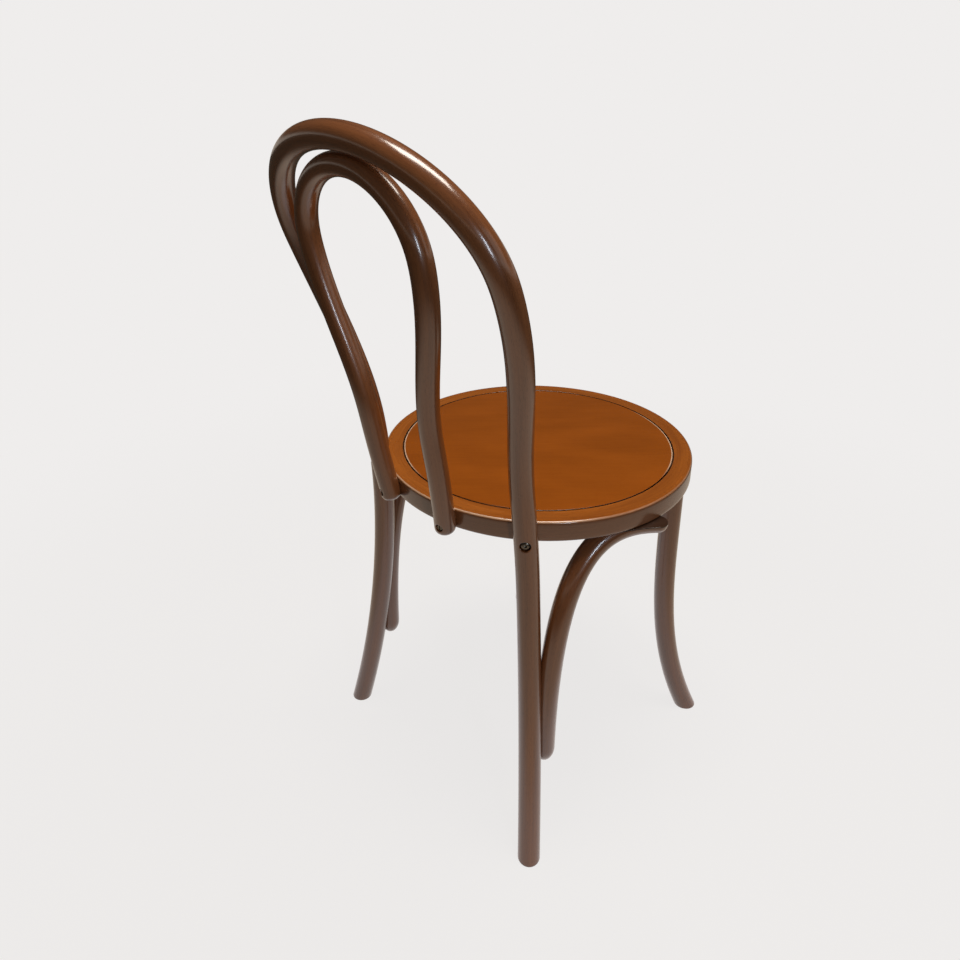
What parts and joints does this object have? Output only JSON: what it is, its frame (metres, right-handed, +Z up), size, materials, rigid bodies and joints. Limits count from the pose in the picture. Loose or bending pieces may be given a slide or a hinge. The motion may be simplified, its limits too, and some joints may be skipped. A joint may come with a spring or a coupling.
{
  "type": "bentwood bistro chair",
  "caption": "Bentwood bistro chair with a round panel seat, a looped back with an inner hoop, and curved side braces.",
  "frame": {"origin": "on the floor, under the middle of the chair's width and length", "axes": "+Z up; the sitter faces -Y; +X is the sitter's left"},
  "size_m": [0.4536, 0.5236, 0.8903],
  "materials": {
    "bent_rod": "semi-gloss lacquer over dark walnut-brown stain, fine beech grain along the rod",
    "seat_ring": "semi-gloss lacquer over brown stain",
    "seat_panel": "semi-gloss lacquer over orange-brown stain, flat veneer grain",
    "steel": "bright zinc"
  },
  "bodies": {
    "root": {"seat_ring": "seat_ring", "seat_panel": "seat_panel", "back_hoop": "bent_rod", "inner_hoop": "bent_rod", "front_leg_left": "bent_rod", "front_leg_right": "bent_rod", "side_brace_left": "bent_rod", "side_brace_right": "bent_rod", "hoop_bolts": "steel", "hoop_washers": "steel", "hoop_nuts": "steel", "inner_hoop_screws": "steel", "front_leg_screws": "steel", "brace_foot_screws": "steel", "brace_top_screws": "steel"}
  },
  "joints": []
}
